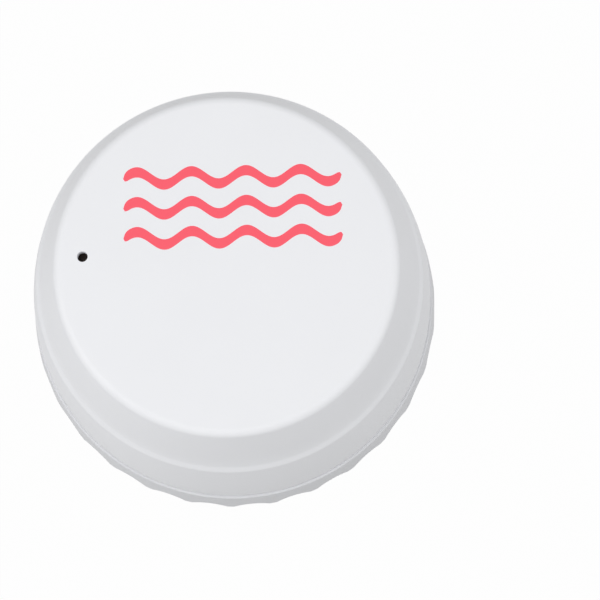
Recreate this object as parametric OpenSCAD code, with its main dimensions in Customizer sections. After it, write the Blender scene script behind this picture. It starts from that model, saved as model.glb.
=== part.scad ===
// Battery water leak sensor: a stepped round housing that twist-locks on a fluted base.
// Four metal probes under the base are its feet. They carry brass pillars and the circuit
// board, so water that bridges two probes is sensed on the board. Two AAA cells power it.
// Millimetres, +Z up, origin on the floor under the middle. The reset hole lies on -X.

/* [Housing] */
// Height of the lower tier, from the seam to the step
lower_h = 19.6; // [16:0.1:26]
// Height of the upper tier, from the step to the flat top
upper_h = 12.7; // [10:0.1:18]
// Diameter at the seam with the base
skirt_d = 69.2; // [68:0.1:84]
// Lean of the lower wall, degrees from upright
lower_draft = 7.4; // [2:0.1:9]
// Lean of the upper wall, degrees from upright
upper_draft = 17.8; // [6:0.1:19]
// How far the lower wall bows out between its ends
lower_bow = 0.5; // [0:0.05:0.6]
// How far the upper wall bows out between its ends
upper_bow = 0.12; // [0:0.02:0.3]
// Slope of the step between the tiers, degrees down from level
step_slope = 45; // [20:1:55]
// Width of the step's sloping face
step_w = 0.93; // [0.5:0.01:1.5]
// Radius of the cove where the upper wall meets the step
cove_r = 0.35; // [0.2:0.05:1.5]
// Rounding of the step's outer edge
step_edge_r = 0.3; // [0.2:0.05:1]
// Rounding of the top edge
top_edge_r = 1.6; // [1:0.1:4]
// Thickness of the housing's wall and top
wall = 2; // [1.6:0.1:2.6]
// Thickness of the rim that grips the base
rim_wall = 2.8; // [2.6:0.1:3.6]

/* [Reset hole] */
// Distance of the reset hole from the edge of the flat top
reset_inset = 3.3; // [2.8:0.1:7]
// Diameter of the reset hole
reset_hole_d = 1.7; // [1:0.1:2.5]
// Thickness of the top left round the reset hole
reset_web = 1.4; // [0.6:0.1:1.5]
// Inside diameter of the collar under the reset hole
reset_collar_d = 4.4; // [3.8:0.1:5]
// Wall thickness of that collar
reset_collar_wall = 1.2; // [0.8:0.1:1.4]
// Depth of the collar under the top
reset_collar_h = 1.6; // [0.6:0.1:2.5]

/* [Base] */
// Height of the base, from the floor to the seam
base_h = 8.7; // [8:0.1:14]
// How far the base's collar stands out past the housing at the seam
collar_lip = 0.5; // [0.2:0.05:1.5]
// How much further the foot of the base spreads
foot_flare = 0.9; // [0.4:0.1:3]
// Rounding of the foot
foot_edge_r = 0.8; // [0.7:0.1:1.5]
// Rounding of the collar's top edge
collar_edge_r = 0.3; // [0.1:0.05:0.5]
// Wall thickness of the collar
collar_wall = 2; // [1.2:0.1:2.4]
// Thickness of the base's floor
floor_t = 2; // [1.6:0.1:3]
// Number of finger flutes round the foot
flute_count = 30; // [26:1:36]
// Depth of a finger flute at the foot
flute_depth = 0.4; // [0.3:0.02:0.5]
// Outward lean of the flutes, degrees; it makes them run out upwards
flute_lean = 7; // [6:1:18]
// Width of the rib between two flutes
rib_w = 1.9; // [1:0.1:3]
// Turn of the first rib from +X, degrees
flute_turn = 8; // [0:0.5:12]

/* [Twist lock] */
// Turn that frees the housing from the base, degrees
lock_turn = 20; // [10:1:40]
// Number of locking lugs
lug_count = 3; // [2:1:4]
// Width of a lug, degrees
lug_angle = 12; // [6:1:20]
// Height of a lug
lug_h = 2; // [1.2:0.1:3]
// How far a lug stands out from the spigot
lug_proud = 1; // [0.6:0.1:1.3]
// Underside of the lugs above the seam
lug_rise = 1.5; // [1:0.1:2.5]
// Height of the spigot above the seam
spigot_rise = 9.3; // [8.6:0.1:12]
// Wall thickness of the spigot
spigot_wall = 2.4; // [2.2:0.1:3]
// Radial clearance between the spigot and the housing
spigot_clear = 0.3; // [0.2:0.05:0.5]
// Clearance between a lug and its slot
lug_clear = 0.3; // [0.2:0.05:0.5]
// Gap at the seam
seam_gap = 0.1; // [0.05:0.05:0.4]

/* [Seal ring] */
// Section diameter of the seal ring
seal_d = 1.4; // [1:0.1:1.8]
// Middle of the seal ring above the seam
seal_rise = 6.7; // [6:0.1:7.2]

/* [Probes and pillars] */
// How far the probes hold the base off the floor
probe_stand = 0.6; // [0.3:0.1:1.2]
// Diameter of a probe's head
probe_head_d = 7; // [5:0.1:8]
// Thickness of a probe's head
probe_head_h = 1.8; // [1.4:0.1:2.5]
// Thickness of the rubber washer on a probe
probe_seal_t = 0.8; // [0.5:0.1:1.2]
// Thickness of the base that a probe clamps
probe_web_t = 1.4; // [1:0.1:2]
// Thread diameter of the probes and board screws
screw_d = 3; // [2.5:0.1:3.5]
// Depth of a screw's thread in its pillar
screw_bite = 6; // [4:0.5:8]
// Width of a pillar across its flats
pillar_w = 5.5; // [5:0.1:6.5]
// Distance of a pillar's middle from the board's edge
pillar_inset = 3.2; // [3:0.1:4.2]
// Direction of the first pillar from +X, degrees
pillar_angle = 51; // [48:0.5:58]

/* [Cells and tray] */
// Diameter of a cell
cell_d = 10.5; // [9.8:0.1:10.6]
// Length of a cell with its positive nub
cell_l = 44.5; // [43.4:0.1:44.6]
// Diameter of the positive nub
nub_d = 3.8; // [3.2:0.1:3.8]
// Height of the positive nub
nub_h = 1; // [0.8:0.1:1.4]
// Gap between the two cells
cell_gap = 1; // [0.8:0.1:1.6]
// Clearance round a cell in its channel
cell_clear = 0.2; // [0.1:0.05:0.25]
// Wall thickness of the tray
tray_wall = 1.2; // [0.8:0.1:1.4]
// Thickness of the tray under the cells
tray_floor = 1.2; // [0.8:0.1:2]
// Length of the finger gap in the tray's sides
finger_gap = 16; // [10:1:24]
// Thickness of the contact plates
contact_t = 0.4; // [0.3:0.05:0.6]
// Length of a cell spring in use
spring_l = 3.6; // [3.2:0.1:4]
// Wire diameter of a cell spring
spring_wire = 0.5; // [0.4:0.05:0.6]
// Turns of a cell spring
spring_turns = 3.5; // [2.5:0.5:3.5]
// Diameter of a cell spring at its plate
spring_base_d = 7.2; // [6:0.1:8]
// Diameter of a cell spring at the cell
spring_tip_d = 4.4; // [3.6:0.1:4.8]
// Thread diameter of the tray's screws
tray_screw_d = 2; // [1.6:0.1:2.4]
// Outside diameter of a battery lead
lead_d = 1.2; // [0.8:0.1:1.6]

/* [Circuit board] */
// Thickness of the circuit board
board_t = 1.6; // [1:0.1:2]
// Depth of the board's top face under the housing's top
board_drop = 10.4; // [10:0.1:11.5]
// Radial gap from the board to the housing
board_clear = 1.6; // [0.8:0.1:2]
// Height of the tallest parts' free space under the top
part_clear = 1.2; // [0.8:0.1:1.8]
// Width of the reset switch
switch_w = 6; // [5.4:0.1:6.2]
// Height of the reset switch's case
switch_h = 3.4; // [3:0.1:4]
// Diameter of the reset plunger
plunger_d = 3.4; // [2.4:0.1:3.6]
// Travel of the reset plunger
plunger_travel = 0.3; // [0.2:0.05:0.5]
// Free space from the plunger's top to the collar above it
plunger_gap = 0.6; // [0.4:0.1:1]
// Diameter of the buzzer
buzzer_d = 12; // [9:0.5:13]
// Diameter of the capacitor
capacitor_d = 6.3; // [5:0.1:8]
// Length of the wireless module
module_l = 20; // [16:0.5:20]
// Width of the wireless module
module_w = 16; // [12:0.5:16]

/* [Hidden] */
$fn = 96;

// Overshoot of a cut, play of a close fit, and depth that joined shapes share
cut = 1;
fit = 0.05;
sunk = 0.3;

// Levels of the outside, from the floor up
seam_z = base_h;
rim_z = seam_z + seam_gap;
step_z = seam_z + lower_h;
top_z = step_z + upper_h;
ceiling_z = top_z - wall;
shelf_z = step_z - wall;

// Radii of the outside
skirt_r = skirt_d / 2;
step_edge_t = step_edge_r / tan(45 + lower_draft / 2);
step_edge_at = [lower_r(step_z) - step_edge_t, step_z - step_edge_r];
step_out = [sin(step_slope), cos(step_slope)];
step_down = [cos(step_slope), -sin(step_slope)];
cove_at = step_edge_at + (cove_r + step_edge_r) * step_out - step_w * step_down;
wall_foot = cove_at - cove_r * [cos(upper_draft), sin(upper_draft)];
upper_r = wall_foot[0] + (wall_foot[1] - step_z) * tan(upper_draft);
top_edge_t = top_edge_r / tan(45 + upper_draft / 2);
upper_turn = atan(4 * upper_bow / upper_h);
lower_turn = atan(4 * lower_bow / lower_h);
top_r = upper_r - upper_h * tan(upper_draft) - top_edge_t;
collar_r = skirt_r + collar_lip;
foot_r = collar_r + foot_flare;

// Flutes of the foot: round cuts that lean outwards and have their full depth at the foot's edge
flute_step = 360 / flute_count;
flute_z = probe_stand + foot_edge_r;
flute_w = 2 * foot_r * sin(flute_step / 2) - rib_w;
flute_sag = flute_depth - foot_r * (1 - cos(asin(flute_w / 2 / foot_r)));
flute_r = (pow(flute_w / 2, 2) + pow(flute_sag, 2)) / (2 * flute_sag);
flute_at = foot_r - flute_depth + flute_r;

// Spigot, lugs and seal groove
bore_r = skirt_r - rim_wall;
spigot_r = bore_r - spigot_clear;
spigot_in_r = spigot_r - spigot_wall;
spigot_top_z = seam_z + spigot_rise;
bore_top_z = spigot_top_z + 2 * lug_clear;
lug_z = seam_z + lug_rise;
lug_r = spigot_r + lug_proud;
slot_r = lug_r + lug_clear;
slot_play = 1;
seal_z = seam_z + seal_rise;
seal_clear = 0.1;
groove_play = 0.3;
seal_mid_r = bore_r - seal_clear - seal_d / 2;
groove_r = seal_mid_r - seal_d / 2 - fit;
groove_h = seal_d + 2 * groove_play;

// Base floor, probes and pillars
base_z = probe_stand;
floor_z = base_z + floor_t;
pocket_top_z = probe_head_h + probe_seal_t;
pocket_play = 0.3;
pocket_d = probe_head_d + 2 * pocket_play;
boss_wall = 1.2;
pillar_z = pocket_top_z + probe_web_t;
pillar_boss_d = pocket_d + 2 * boss_wall;
hole_d = screw_d + 4 * fit;
shank_d = screw_d - 2 * fit;

// Circuit board
board_z = top_z - board_drop;
board_low_z = board_z - board_t;
board_r = upper_in_r(board_z) - board_clear;
pillar_r = board_r - pillar_inset;
pillar_turns = [pillar_angle, 180 - pillar_angle, 180 + pillar_angle, -pillar_angle];
screw_head_d = 5.5;
screw_head_h = 2;
part_top_z = ceiling_z - part_clear;

// Cells: the front one has its positive end at -X, the rear one at +X
cell_pitch = cell_d + cell_gap;
tray_z = floor_z;
channel_r = cell_d / 2 + cell_clear;
cell_z = tray_z + tray_floor + channel_r;
contact_x = (cell_l + spring_l) / 2;
tray_in_x = contact_x + contact_t;
tray_x = tray_in_x + tray_wall;
tray_y = cell_pitch / 2 + channel_r + tray_wall;
tray_side_rise = 2;
tray_top_z = cell_z + tray_side_rise;
tray_end_z = cell_z + cell_d / 2;
tray_room = 0.4;
contact_play = 0.6;
contact_r = channel_r - contact_play;
contact_top_z = cell_z + contact_r;
tab_w = 3;
tab_rise = 1.5;
tab_top_z = tray_end_z + tab_rise;
lead_sweep = 4;
ear_t = 1.6;
ear_rise = 2;
ear_z = tray_z + ear_rise;
ear_r = 2.6;
ear_y = tray_y + ear_r;
tray_screw_head_d = 2 * tray_screw_d;
screw_floor_t = 1.4;
tray_screw_tip_z = base_z + screw_floor_t;

// Reset switch and its plunger
reset_r = top_r - reset_inset;
collar_low_z = ceiling_z - reset_collar_h;
plunger_top_z = collar_low_z - plunger_gap;
switch_top_z = board_z + switch_h;
switch_plate_t = 0.3;
flange_rim = 0.55;
flange_d = plunger_d + 2 * flange_rim;
flange_t = 0.8;
well_play = 0.15;
flange_top_z = switch_top_z - switch_plate_t - fit;
cavity_low_z = flange_top_z - flange_t - plunger_travel - fit;

// Places of the parts on the board
led_at = [-17.5, 6.2];
buzzer_at = [-6, 11.5];
capacitor_at = [-6.5, -10.5];
chip_at = [-4, 0.4];
inductor_at = [3, -13];
module_inset = 2.2;
module_at = [board_r - module_inset - module_l / 2, 0];

// Outside radius of the lower wall at a height
function lower_r(z) = skirt_r - (z - seam_z) * tan(lower_draft);
// Inside radius of the lower wall at a height
function lower_in_r(z) = lower_r(z) - wall / cos(lower_draft);
// Inside radius of the upper wall at a height
function upper_in_r(z) = upper_r - (z - step_z) * tan(upper_draft) - wall / cos(upper_draft);

// Points along a round stretch of an outline
function arc(middle, r, from, to, steps) =
  [for (i = [0:steps]) let (a = from + (to - from) * i / steps) middle + r * [cos(a), sin(a)]];

// Points between two ends of a wall that bows out to the right of the way from p to q
function bowed(p, q, bow, steps) =
  let (way = q - p, out = unit([way[1], -way[0]]))
  [for (i = [1:steps - 1]) let (s = i / steps) p + s * way + 4 * bow * s * (1 - s) * out];

// Rings of points round a path, for a tube that keeps its section
function unit(v) = v / norm(v);
function heading(path, i) = unit(path[min(i + 1, len(path) - 1)] - path[max(i - 1, 0)]);
function ring(path, i, d, sides, side) =
  let (t = heading(path, i), u = unit(cross(side, t)), v = cross(t, u))
  [for (k = [0:sides - 1]) path[i] + d / 2 * (cos(360 * k / sides) * u + sin(360 * k / sides) * v)];

// Least free gap between turns of a wound wire, measured along its middle line
function self_gap(path, d, skip) =
  min([for (i = [0:len(path) - 1]) for (j = [i + skip:1:len(path) - 1]) norm(path[i] - path[j])]) - d;

// A closed tube along a path, all in triangles
module tube(path, d, sides, side) {
  last = len(path) - 1;
  points = [for (i = [0:last]) each ring(path, i, d, sides, side)];
  walls = [
    for (i = [0:last - 1]) for (k = [0:sides - 1])
      let (a = i * sides + k, b = i * sides + (k + 1) % sides)
      each [[a, a + sides, b], [b, a + sides, b + sides]]
  ];
  end = last * sides;
  near_end = [for (k = [1:sides - 2]) [0, k, k + 1]];
  far_end = [for (k = [1:sides - 2]) [end, end + k + 1, end + k]];
  polyhedron(points, concat(walls, near_end, far_end));
}

// Copies of a shape at the four pillars
module at_pillars() {
  for (a = pillar_turns) rotate(a) translate([pillar_r, 0, 0]) rotate(-a) children();
}

// Copies of a shape at the tray's two ears
module at_ears() {
  for (side = [-1, 1]) translate([0, side * ear_y, 0]) children();
}

// The part of a shape that keeps clear of the spigot's bore
module within_spigot() {
  intersection() {
    translate([0, 0, tray_z]) cylinder(r = spigot_in_r - tray_room, h = tab_top_z - tray_z);
    children();
  }
}

// A plain round shank between two levels
module screw_shank(from_z, to_z, d) {
  translate([0, 0, from_z]) cylinder(d = d, h = to_z - from_z);
}

// A block with its middle at a place on the board
module block_on_board(place, size, z) {
  translate([place[0] - size[0] / 2, place[1] - size[1] / 2, z]) cube(size);
}

// Stepped round cap: flat top, soft edge, two leaning tiers and a rim with the lock's slots
module upper_housing() {
  top_edge = arc([top_r, top_z - top_edge_r], top_edge_r, 90, upper_draft + upper_turn, 10);
  cove = arc(cove_at, cove_r, 180 + upper_draft - upper_turn, 270 - step_slope, 5);
  step_edge = arc(step_edge_at, step_edge_r, 90 - step_slope, lower_draft + lower_turn, 5);
  rim = [lower_r(rim_z), rim_z];
  outside = concat(
    [[0, top_z]],
    top_edge,
    bowed(top_edge[len(top_edge) - 1], cove[0], -upper_bow, 6),
    cove,
    step_edge,
    bowed(step_edge[len(step_edge) - 1], rim, -lower_bow, 10),
    [rim]
  );
  inside = [
    [bore_r, rim_z],
    [bore_r, bore_top_z],
    [lower_in_r(bore_top_z), bore_top_z],
    [lower_in_r(shelf_z), shelf_z],
    [upper_in_r(shelf_z), shelf_z],
    [upper_in_r(ceiling_z), ceiling_z],
    [0, ceiling_z]
  ];
  color("#ECEDF0") difference() {
    union() {
      rotate_extrude() polygon(concat(outside, inside));
      translate([-reset_r, 0, collar_low_z])
        cylinder(d = reset_collar_d + 2 * reset_collar_wall, h = ceiling_z - collar_low_z + sunk);
    }
    translate([-reset_r, 0, collar_low_z - cut])
      cylinder(d = reset_collar_d, h = top_z - reset_web - collar_low_z + cut);
    translate([-reset_r, 0, collar_low_z]) cylinder(d = reset_hole_d, h = top_z - collar_low_z + cut);
    lock_slots();
  }
}

// L-shaped slots inside the rim: a lug comes up the entry and then runs along under it
module lock_slots() {
  slot_low = lug_z - lug_clear / 2;
  slot_top = lug_z + lug_h + lug_clear;
  entry_turn = lug_angle + 2 * slot_play;
  for (i = [0:lug_count - 1])
    rotate(i * 360 / lug_count - lock_turn - entry_turn / 2) {
      rotate_extrude(angle = entry_turn)
        translate([bore_r - cut, rim_z - cut]) square([slot_r - bore_r + cut, slot_top - rim_z + cut]);
      rotate_extrude(angle = lock_turn + entry_turn)
        translate([bore_r - cut, slot_low]) square([slot_r - bore_r + cut, slot_top - slot_low]);
    }
}

// Fluted cup: floor, grip collar, spigot with lugs and seal groove, bosses for pillars and tray
module base_cover() {
  foot_at = [foot_r - foot_edge_r, base_z + foot_edge_r];
  edge_at = [collar_r - collar_edge_r, seam_z - collar_edge_r];
  collar_draft = atan(foot_flare / (edge_at[1] - foot_at[1]));
  lead_in = 0.6;
  outline = concat(
    [[0, base_z]],
    arc(foot_at, foot_edge_r, -90, collar_draft, 6),
    arc(edge_at, collar_edge_r, collar_draft, 90, 5),
    [
      [collar_r - collar_wall, seam_z],
      [collar_r - collar_wall, floor_z],
      [spigot_r, floor_z],
      [spigot_r, seal_z - groove_h / 2],
      [groove_r, seal_z - groove_h / 2],
      [groove_r, seal_z + groove_h / 2],
      [spigot_r, seal_z + groove_h / 2],
      [spigot_r, spigot_top_z - lead_in],
      [spigot_r - lead_in, spigot_top_z],
      [spigot_in_r, spigot_top_z],
      [spigot_in_r, floor_z],
      [0, floor_z]
    ]
  );
  color("#E6E7EA") difference() {
    union() {
      rotate_extrude() polygon(outline);
      for (i = [0:lug_count - 1]) rotate(i * 360 / lug_count - lug_angle / 2) lug();
      at_pillars() translate([0, 0, floor_z - sunk])
        cylinder(d = pillar_boss_d, h = pillar_z - floor_z + sunk);
      at_ears() translate([0, 0, floor_z - sunk]) cylinder(r = ear_r, h = ear_z - floor_z + sunk);
    }
    at_pillars() {
      translate([0, 0, base_z - cut]) cylinder(d = pocket_d, h = pocket_top_z - base_z + cut);
      cylinder(d = hole_d, h = pillar_z + cut);
    }
    at_ears() translate([0, 0, tray_screw_tip_z - 2 * fit])
      cylinder(d = tray_screw_d, h = ear_z - tray_screw_tip_z + cut);
    for (i = [0:flute_count - 1]) rotate(flute_turn + (i + 0.5) * flute_step) flute();
  }
}

// One locking lug on the spigot, with its underside and top square to the axis
module lug() {
  rotate_extrude(angle = lug_angle)
    translate([spigot_r - sunk, lug_z]) square([lug_proud + sunk, lug_h]);
}

// Cut of one finger flute: a leaning bar, so that the flute runs out upwards
module flute() {
  translate([flute_at, 0, flute_z]) rotate([0, flute_lean, 0])
    cylinder(r = flute_r, h = 2 * seam_z, center = true);
}

// Round rubber seal in the spigot's groove
module seal_ring() {
  color("#2B2C2E") translate([0, 0, seal_z])
    rotate_extrude() translate([seal_mid_r, 0]) circle(d = seal_d);
}

// Four stainless probes: flat heads that are the feet, and threads up into the pillars
module probe_screws() {
  edge = 0.4;
  head = concat(
    [[0, 0]],
    arc([probe_head_d / 2 - edge, edge], edge, -90, 0, 5),
    [[probe_head_d / 2, probe_head_h], [0, probe_head_h]]
  );
  color("#C9CCD0") at_pillars() {
    rotate_extrude() polygon(head);
    screw_shank(probe_head_h - sunk, pillar_z + screw_bite, shank_d);
  }
}

// Rubber washers that keep water from creeping up past the probes
module probe_seals() {
  color("#2B2C2E") at_pillars() translate([0, 0, probe_head_h]) difference() {
    cylinder(d = probe_head_d, h = probe_seal_t);
    translate([0, 0, -cut]) cylinder(d = hole_d, h = probe_seal_t + 2 * cut);
  }
}

// Brass hexagon pillars that carry the board and lead the probes' signal up to it
module board_pillars() {
  bore_l = screw_bite + 1;
  color("#C8A24A") at_pillars() difference() {
    translate([0, 0, pillar_z])
      cylinder(d = pillar_w / cos(30), h = board_low_z - pillar_z, $fn = 6);
    translate([0, 0, pillar_z - cut]) cylinder(d = screw_d, h = bore_l + cut);
    translate([0, 0, board_low_z - bore_l]) cylinder(d = screw_d, h = bore_l + cut);
  }
}

// Pan-head screws that hold the board down on the pillars
module board_screws() {
  crown = 0.6;
  head = concat(
    [[0, 0], [screw_head_d / 2, 0]],
    arc([screw_head_d / 2 - crown, screw_head_h - crown], crown, 0, 90, 5),
    [[0, screw_head_h]]
  );
  color("#C9CCD0") at_pillars() {
    translate([0, 0, board_z]) rotate_extrude() polygon(head);
    screw_shank(board_low_z - screw_bite, board_z + sunk, shank_d);
  }
}

// Round glass-epoxy board with a locating notch at the front and the back
module circuit_board() {
  notch_d = 8;
  color("#2F6B45") difference() {
    translate([0, 0, board_low_z]) cylinder(r = board_r, h = board_t);
    at_pillars() translate([0, 0, board_low_z - cut]) cylinder(d = hole_d, h = board_t + 2 * cut);
    for (side = [-1, 1]) translate([0, side * (board_r + notch_d / 4), board_low_z - cut])
      cylinder(d = notch_d, h = board_t + 2 * cut);
  }
}

// Open tray with two round-bottomed channels, finger gaps and two screw ears; its corners
// follow the spigot's bore
module battery_tray() {
  screw_play = 0.15;
  color("#3A3B3E") within_spigot() tray_blank(screw_play);
}

module tray_blank(screw_play) {
  difference() {
    union() {
      translate([-tray_x, -tray_y, tray_z]) cube([2 * tray_x, 2 * tray_y, tray_top_z - tray_z]);
      for (side = [-1, 1])
        translate([side * (tray_x - tray_wall / 2) - tray_wall / 2, -tray_y, tray_z])
          cube([tray_wall, 2 * tray_y, tray_end_z - tray_z]);
      at_ears() translate([0, 0, ear_z]) cylinder(r = ear_r, h = ear_t);
      for (side = [-1, 1])
        translate([-ear_r, min(side * ear_y, side * (tray_y - sunk)), ear_z])
          cube([2 * ear_r, ear_y - tray_y + sunk, ear_t]);
    }
    for (side = [-1, 1]) translate([0, side * cell_pitch / 2, cell_z]) {
      rotate([0, 90, 0]) cylinder(r = channel_r, h = 2 * tray_in_x, center = true);
      translate([-tray_in_x, -channel_r + fit, 0]) cube([2 * tray_in_x, 2 * (channel_r - fit), cell_d]);
    }
    translate([-finger_gap / 2, -tray_y - cut, cell_z]) cube([finger_gap, 2 * (tray_y + cut), cell_d]);
    at_ears() translate([0, 0, ear_z - cut])
      cylinder(d = tray_screw_d + 2 * screw_play, h = ear_t + 2 * cut);
  }
}

// Two small screws through the tray's ears into the base's bosses
module tray_screws() {
  head_h = 1.4;
  color("#C9CCD0") at_ears() {
    translate([0, 0, ear_z + ear_t]) cylinder(d = tray_screw_head_d, h = head_h);
    screw_shank(tray_screw_tip_z, ear_z + ear_t + sunk, tray_screw_d - 2 * fit);
  }
}

// One AAA cell along +X: flat end, wrapped can, crimped shoulder and positive nub at the far end
module cell() {
  can_r = cell_d / 2;
  can_l = cell_l - nub_h;
  crimp = 0.5;
  outline = [
    [0, 0],
    [can_r - 2 * crimp, 0],
    [can_r - 2 * crimp, crimp / 2],
    [can_r - crimp, crimp / 2],
    [can_r, crimp],
    [can_r, can_l - 2 * crimp],
    [can_r - crimp, can_l - crimp],
    [nub_d / 2 + crimp, can_l],
    [nub_d / 2, can_l],
    [nub_d / 2, cell_l - crimp / 2],
    [nub_d / 2 - crimp / 2, cell_l],
    [0, cell_l]
  ];
  rotate([0, 90, 0]) rotate_extrude() polygon(outline);
}

// Cell nearer -Y, with its positive nub on the plus contact at -X
module front_cell() {
  color("#4C7FB0") translate([cell_l - contact_x, -cell_pitch / 2, cell_z]) rotate(180) cell();
}

// Cell nearer +Y, with its positive nub on the bridge contact at +X
module rear_cell() {
  color("#4C7FB0") translate([contact_x - cell_l, cell_pitch / 2, cell_z]) cell();
}

// A stamped plate against a channel's end: round below, straight above
module contact_plate() {
  shoulder = 0.4;
  straight_w = 2 * (contact_r - shoulder);
  rotate([0, 90, 0]) cylinder(r = contact_r, h = contact_t);
  translate([0, -straight_w / 2, 0]) cube([contact_t, straight_w, contact_r]);
}

// A plate with a solder tab that stands up over the tray's end
module tabbed_plate() {
  contact_plate();
  translate([0, -tab_w / 2, 0]) cube([contact_t, tab_w, tab_top_z - cell_z]);
}

// Plate that takes the front cell's positive nub
module plus_contact() {
  color("#D5D7DA") within_spigot() translate([-tray_in_x, -cell_pitch / 2, cell_z]) tabbed_plate();
}

// Plate that carries the rear cell's spring
module minus_contact() {
  color("#D5D7DA") within_spigot() translate([-tray_in_x, cell_pitch / 2, cell_z]) tabbed_plate();
}

// Plate across both channels that puts the two cells in series
module bridge_contact() {
  strip_gap = 0.3;
  strip_low = tray_top_z + strip_gap;
  color("#D5D7DA") within_spigot() {
    for (side = [-1, 1]) translate([contact_x, side * cell_pitch / 2, cell_z]) contact_plate();
    translate([contact_x, -cell_pitch / 2, strip_low])
      cube([contact_t, cell_pitch, contact_top_z - strip_low]);
  }
}

// Middle line of a cell spring that narrows along +X from its plate to the cell
spring_steps = 8 * spring_turns;
spring_path = [
  for (i = [0:spring_steps])
    let (
      share = i / spring_steps,
      r = (spring_base_d + (spring_tip_d - spring_base_d) * share - spring_wire) / 2,
      a = 360 * spring_turns * share
    )
    [spring_wire / 2 + (spring_l - spring_wire) * share, r * cos(a), r * sin(a)]
];
echo(cell_spring_gap = self_gap(spring_path, spring_wire, 4));

module cell_spring() {
  tube(spring_path, spring_wire, 6, [1, 0, 0]);
}

// Spring between the minus contact and the rear cell
module minus_spring() {
  color("#D5D7DA") translate([-contact_x, cell_pitch / 2, cell_z]) cell_spring();
}

// Spring between the bridge contact and the front cell
module bridge_spring() {
  color("#D5D7DA") translate([contact_x, -cell_pitch / 2, cell_z]) rotate(180) cell_spring();
}

// A lead from a contact's tab to the board above it: upright at both ends, swept in between
module battery_lead(y) {
  tab_x = -tray_in_x + contact_t / 2;
  bend_count = 14;
  low_z = tab_top_z + lead_d;
  rise = board_low_z - lead_d - low_z;
  path = concat(
    [[tab_x, y, tab_top_z]],
    [
      for (i = [0:bend_count])
        let (share = i / bend_count, swept = lead_sweep * (1 - cos(180 * share)) / 2)
        [tab_x + swept, y, low_z + rise * share]
    ],
    [[tab_x + lead_sweep, y, board_low_z]]
  );
  tube(path, lead_d, 8, [0, 1, 0]);
}

module plus_lead() {
  color("#B3282D") battery_lead(-cell_pitch / 2);
}

module minus_lead() {
  color("#202124") battery_lead(cell_pitch / 2);
}

// Moulded case of the reset switch, with a round well for the plunger's flange
module switch_case() {
  color("#232427") difference() {
    translate([-reset_r - switch_w / 2, -switch_w / 2, board_z])
      cube([switch_w, switch_w, switch_h - switch_plate_t]);
    translate([-reset_r, 0, cavity_low_z]) cylinder(d = flange_d + 2 * well_play, h = switch_h);
  }
}

// Steel plate that closes the switch and guides its plunger
module switch_cover() {
  color("#C9CCD0") translate([-reset_r, 0, switch_top_z - switch_plate_t]) difference() {
    translate([-switch_w / 2, -switch_w / 2, 0]) cube([switch_w, switch_w, switch_plate_t]);
    translate([0, 0, -cut]) cylinder(d = plunger_d + 4 * fit, h = switch_plate_t + 2 * cut);
  }
}

// Black plunger under the reset hole, held in the switch by its flange
module reset_plunger() {
  color("#1B1C1E") translate([-reset_r, 0, 0]) {
    translate([0, 0, flange_top_z - flange_t]) cylinder(d = flange_d, h = flange_t);
    translate([0, 0, flange_top_z - sunk])
      cylinder(d = plunger_d, h = plunger_top_z - flange_top_z + sunk);
  }
}

// Surface-mount indicator with a domed lens, beside the reset switch
module status_led() {
  led_l = 3.2;
  led_w = 1.8;
  led_h = 0.6;
  lens_d = 1.5;
  lens_h = 0.8;
  color("#D9E8D2") {
    block_on_board(led_at, [led_l, led_w, led_h], board_z);
    translate([led_at[0], led_at[1], board_z + led_h - sunk]) cylinder(d = lens_d, h = lens_h + sunk);
  }
}

// Round sounder case, open below, with a sound hole in its top and a ledge for its disc
buzzer_wall = 0.8;
buzzer_ledge_h = 2.6;
buzzer_ledge_z = board_z + buzzer_ledge_h;
module buzzer_case() {
  hole = 2;
  ledge = 0.6;
  inner_r = buzzer_d / 2 - buzzer_wall;
  section = [
    [hole / 2, part_top_z],
    [buzzer_d / 2, part_top_z],
    [buzzer_d / 2, board_z],
    [inner_r - ledge, board_z],
    [inner_r - ledge, buzzer_ledge_z],
    [inner_r, buzzer_ledge_z],
    [inner_r, part_top_z - buzzer_wall],
    [hole / 2, part_top_z - buzzer_wall]
  ];
  color("#222326") translate([buzzer_at[0], buzzer_at[1], 0]) rotate_extrude() polygon(section);
}

// Brass sounder disc on the ledge inside its case
module buzzer_disc() {
  disc_t = 0.3;
  color("#C8A24A") translate([buzzer_at[0], buzzer_at[1], buzzer_ledge_z])
    cylinder(d = buzzer_d - 2 * buzzer_wall - 4 * fit, h = disc_t);
}

// Small daughter board with its aerial end at the main board's edge
module_t = 0.8;
module wireless_module() {
  color("#24394F") block_on_board(module_at, [module_l, module_w, module_t], board_z);
}

// Tinned shield can over the wireless module's radio, clear of its aerial
module module_shield() {
  aerial_l = 6;
  margin = 0.8;
  shield_h = 2.2;
  skin = 0.3;
  size = [module_l - aerial_l - margin, module_w - 2 * margin, shield_h];
  place = module_at - [(aerial_l - margin) / 2, 0];
  color("#C4C7CA") difference() {
    block_on_board(place, size, board_z + module_t);
    block_on_board(place, size - [2 * skin, 2 * skin, 0], board_z + module_t - skin);
  }
}

// Controller in a flat case with legs along both sides
module controller_chip() {
  chip_l = 9.8;
  chip_w = 4;
  chip_h = 1.5;
  lift = 0.2;
  leg_w = 0.5;
  leg_span = 6.2;
  leg_t = 0.4;
  leg_pitch = 1.27;
  leg_count = 8;
  color("#1F2022") {
    block_on_board(chip_at, [chip_l, chip_w, chip_h], board_z + lift);
    for (i = [0:leg_count - 1]) {
      leg_at = chip_at + [(i - (leg_count - 1) / 2) * leg_pitch, 0];
      block_on_board(leg_at, [leg_w, leg_span, leg_t], board_z);
    }
  }
}

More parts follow.
